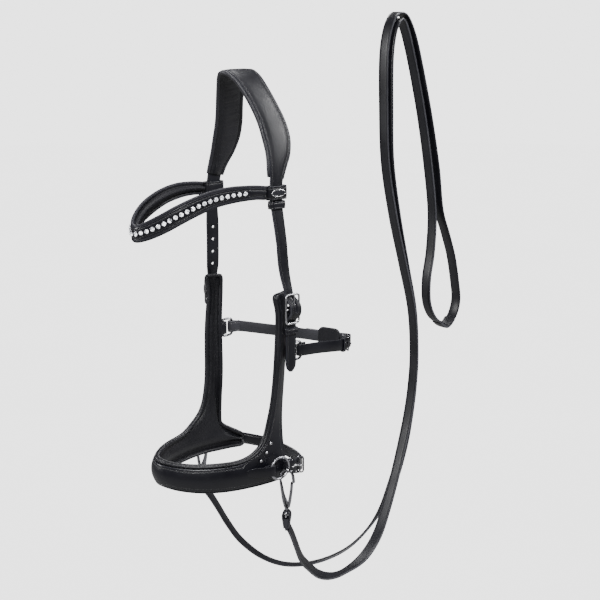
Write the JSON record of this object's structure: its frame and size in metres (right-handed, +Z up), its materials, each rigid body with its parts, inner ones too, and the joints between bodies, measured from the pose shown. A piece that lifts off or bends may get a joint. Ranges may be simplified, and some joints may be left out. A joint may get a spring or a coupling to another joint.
{
  "type": "bitless bridle",
  "caption": "Bitless riding bridle of black padded leather with a wide noseband, jewelled browband, buckled throat and chin straps, and reins clipped to side rings.",
  "frame": {"origin": "underside of the crown where it rests on the horse's poll, in the middle", "axes": "+X to the horse's left side, -Y toward its nose, +Z up"},
  "size_m": [0.1684, 0.5086, 0.7137],
  "materials": {
    "bridle_leather": "satin",
    "lining_leather": "soft",
    "polished_steel": "polished",
    "crystal": "cut"
  },
  "bodies": {
    "headstall": {"headpiece": "bridle_leather", "noseband": "bridle_leather", "chin_strap": "bridle_leather", "chin_chape": "bridle_leather", "chin_keeper": "bridle_leather", "rein_near": "bridle_leather", "rein_far": "bridle_leather", "rein_join": "bridle_leather", "crown_pad": "lining_leather", "noseband_pad": "lining_leather", "chin_buckle": "polished_steel", "strap_collar_near": "bridle_leather", "cheek_chape_near": "bridle_leather", "throat_tab_near": "bridle_leather", "ring_fold_near": "bridle_leather", "rein_end_near": "bridle_leather", "cheek_buckle_near": "polished_steel", "throat_ring_near": "polished_steel", "hook_eye_near": "polished_steel", "stud_near_1": "polished_steel", "stud_near_2": "polished_steel", "stud_near_3": "polished_steel", "strap_collar_far": "bridle_leather", "cheek_chape_far": "bridle_leather", "throat_tab_far": "bridle_leather", "ring_fold_far": "bridle_leather", "rein_end_far": "bridle_leather", "cheek_buckle_far": "polished_steel", "throat_ring_far": "polished_steel", "hook_eye_far": "polished_steel", "stud_far_1": "polished_steel", "stud_far_2": "polished_steel", "stud_far_3": "polished_steel"},
    "browband_set": {"browband": "bridle_leather", "browband_pad": "lining_leather", "crystal_row": "crystal", "browband_loop_near": "bridle_leather", "browband_loop_far": "bridle_leather", "badge": "polished_steel"},
    "throat_lash": {"throat_billet": "bridle_leather", "throat_strap": "bridle_leather", "throat_guard": "lining_leather", "throat_buckle": "polished_steel", "throat_keeper": "bridle_leather"},
    "throat_tongue": {"throat_tongue": "polished_steel"},
    "chin_tongue": {"chin_tongue": "polished_steel"},
    "cheek_tongue_near": {"cheek_tongue_near": "polished_steel"},
    "cheek_keeper_near": {"cheek_keeper_near": "bridle_leather"},
    "side_ring_near": {"side_ring_near": "polished_steel"},
    "snap_hook_near": {"snap_hook_near": "polished_steel"},
    "hook_gate_near": {"hook_gate_near": "polished_steel"},
    "cheek_tongue_far": {"cheek_tongue_far": "polished_steel"},
    "cheek_keeper_far": {"cheek_keeper_far": "bridle_leather"},
    "side_ring_far": {"side_ring_far": "polished_steel"},
    "snap_hook_far": {"snap_hook_far": "polished_steel"},
    "hook_gate_far": {"hook_gate_far": "polished_steel"}
  },
  "joints": [
    {"name": "browband_slide", "type": "slide", "parent": "headstall", "child": "browband_set", "axis": [0, 0, 1], "range_m": [-0.001, 0.004]},
    {"name": "throat_tip", "type": "hinge", "parent": "headstall", "child": "throat_lash", "pos_m": [0, 0.036, -0.302], "axis": [1, 0, 0], "range_deg": [-6, 6]},
    {"name": "throat_tongue_turn", "type": "hinge", "parent": "throat_lash", "child": "throat_tongue", "pos_m": [0.0476, 0.1212, -0.3115], "axis": [0, 0, 1], "range_deg": [0, 24]},
    {"name": "chin_tongue_turn", "type": "hinge", "parent": "headstall", "child": "chin_tongue", "pos_m": [0.0642, 0.02, -0.4386], "axis": [0, 0, -1], "range_deg": [0, 24]},
    {"name": "cheek_tongue_turn_near", "type": "hinge", "parent": "headstall", "child": "cheek_tongue_near", "pos_m": [0.0769, 0.0148, -0.249], "axis": [0, 1, 0], "range_deg": [0, 40]},
    {"name": "cheek_keeper_slide_near", "type": "slide", "parent": "headstall", "child": "cheek_keeper_near", "axis": [0, 0, 1], "range_m": [-0.02, 0.003]},
    {"name": "ring_swing_near", "type": "hinge", "parent": "headstall", "child": "side_ring_near", "pos_m": [0.0742, -0.0147, -0.4334], "axis": [0, 0, -1], "range_deg": [0, 6]},
    {"name": "hook_swivel_near", "type": "hinge", "parent": "headstall", "child": "snap_hook_near", "pos_m": [0.0767, 0.0056, -0.486], "axis": [0, 0, -1], "range_deg": [0, 3.2]},
    {"name": "gate_spring_near", "type": "hinge", "parent": "snap_hook_near", "child": "hook_gate_near", "pos_m": [0.07865, 0.00732, -0.4804], "axis": [0.6606, -0.7507, 0], "range_deg": [0, 12], "stiffness_Nm_per_rad": 0.01, "springref_deg": -5.73},
    {"name": "cheek_tongue_turn_far", "type": "hinge", "parent": "headstall", "child": "cheek_tongue_far", "pos_m": [-0.0769, 0.0148, -0.255], "axis": [0, -1, 0], "range_deg": [0, 40]},
    {"name": "cheek_keeper_slide_far", "type": "slide", "parent": "headstall", "child": "cheek_keeper_far", "axis": [0, 0, 1], "range_m": [-0.02, 0.003]},
    {"name": "ring_swing_far", "type": "hinge", "parent": "headstall", "child": "side_ring_far", "pos_m": [-0.0742, -0.0147, -0.4334], "axis": [0, 0, 1], "range_deg": [0, 6]},
    {"name": "hook_swivel_far", "type": "hinge", "parent": "headstall", "child": "snap_hook_far", "pos_m": [-0.0769, -0.0044, -0.486], "axis": [0, 0, -1], "range_deg": [0, 8]},
    {"name": "gate_spring_far", "type": "hinge", "parent": "snap_hook_far", "child": "hook_gate_far", "pos_m": [-0.07885, -0.00612, -0.4804], "axis": [-0.6606, 0.7507, 0], "range_deg": [0, 12], "stiffness_Nm_per_rad": 0.01, "springref_deg": -5.73}
  ]
}
